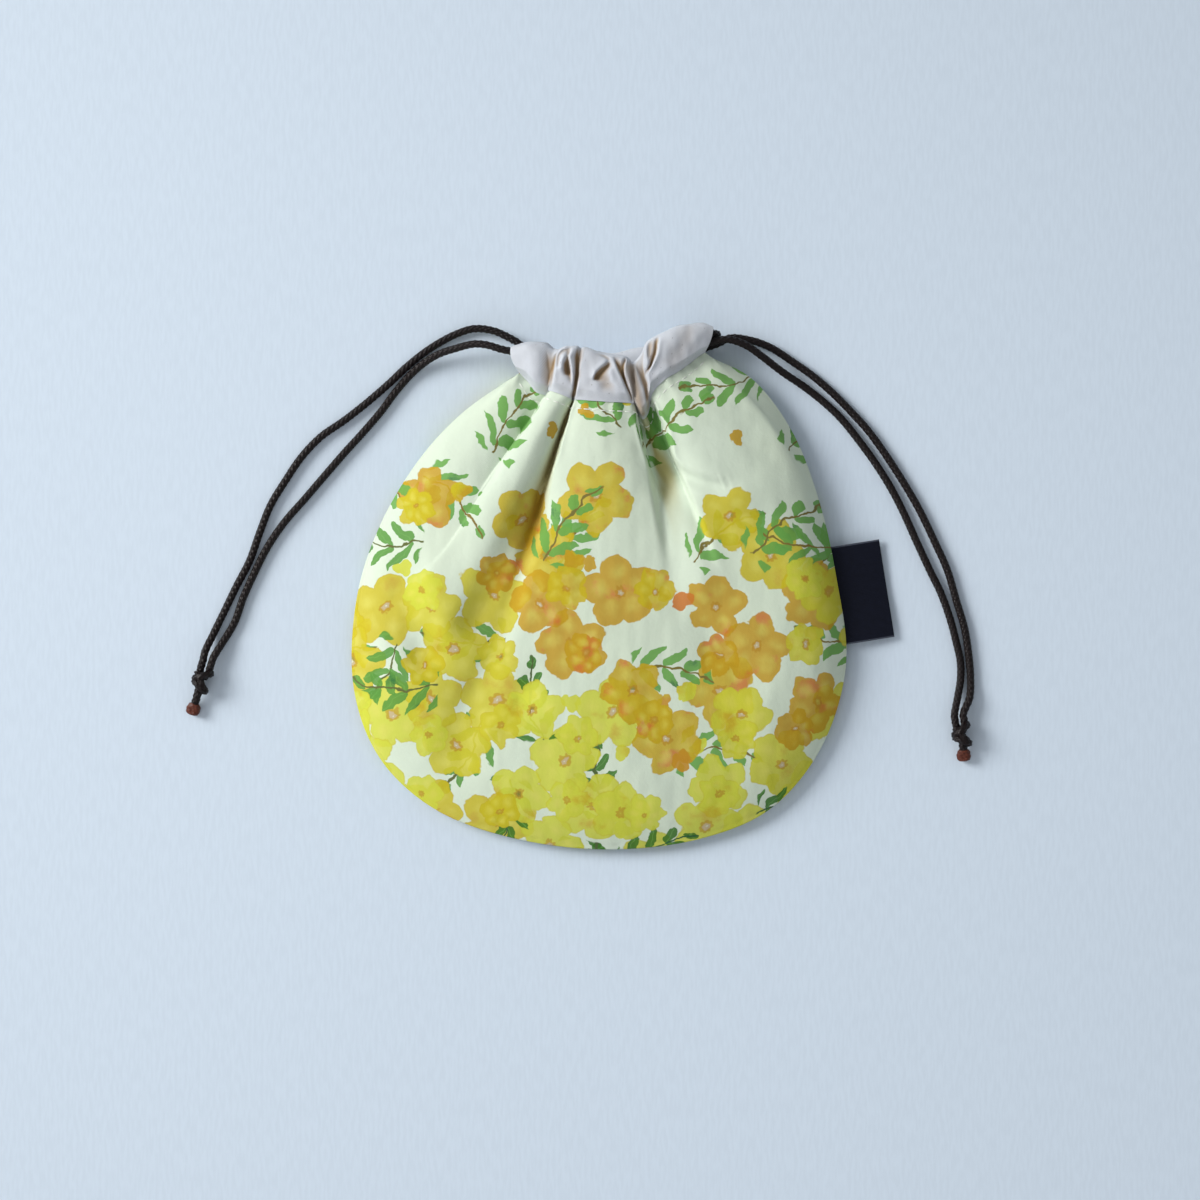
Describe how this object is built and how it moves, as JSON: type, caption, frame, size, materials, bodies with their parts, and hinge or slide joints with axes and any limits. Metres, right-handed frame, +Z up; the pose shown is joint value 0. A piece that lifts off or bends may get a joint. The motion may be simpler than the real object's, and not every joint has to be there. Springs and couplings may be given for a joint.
{
  "type": "drawstring pouch",
  "caption": "Small flat round-bottomed cotton pouch whose canvas mouth is drawn shut by knotted cords from both sides.",
  "frame": {"origin": "middle of the flat area that the pouch lies on, on the table", "axes": "+X across the pouch towards the side label, +Y from the round bottom to the mouth, +Z up from the table"},
  "size_m": [0.275, 0.1832, 0.0208],
  "materials": {
    "print_cotton": "plain-weave cotton with a scattered floral print on pale cream",
    "natural_canvas": "coarse off-white canvas with dark flecks",
    "braided_cord": "round braided cord, dark brown-black with a soft sheen",
    "woven_label": "bare dark navy woven label"
  },
  "bodies": {
    "root": {"front_panel": "print_cotton", "back_panel": "print_cotton", "front_casing": "natural_canvas", "back_casing": "natural_canvas", "side_label": "woven_label", "left_cord_loop": "braided_cord", "left_cord_front_tail": "braided_cord", "left_cord_back_tail": "braided_cord", "left_knot": "braided_cord", "right_cord_loop": "braided_cord", "right_cord_front_tail": "braided_cord", "right_cord_back_tail": "braided_cord", "right_knot": "braided_cord"}
  },
  "joints": []
}
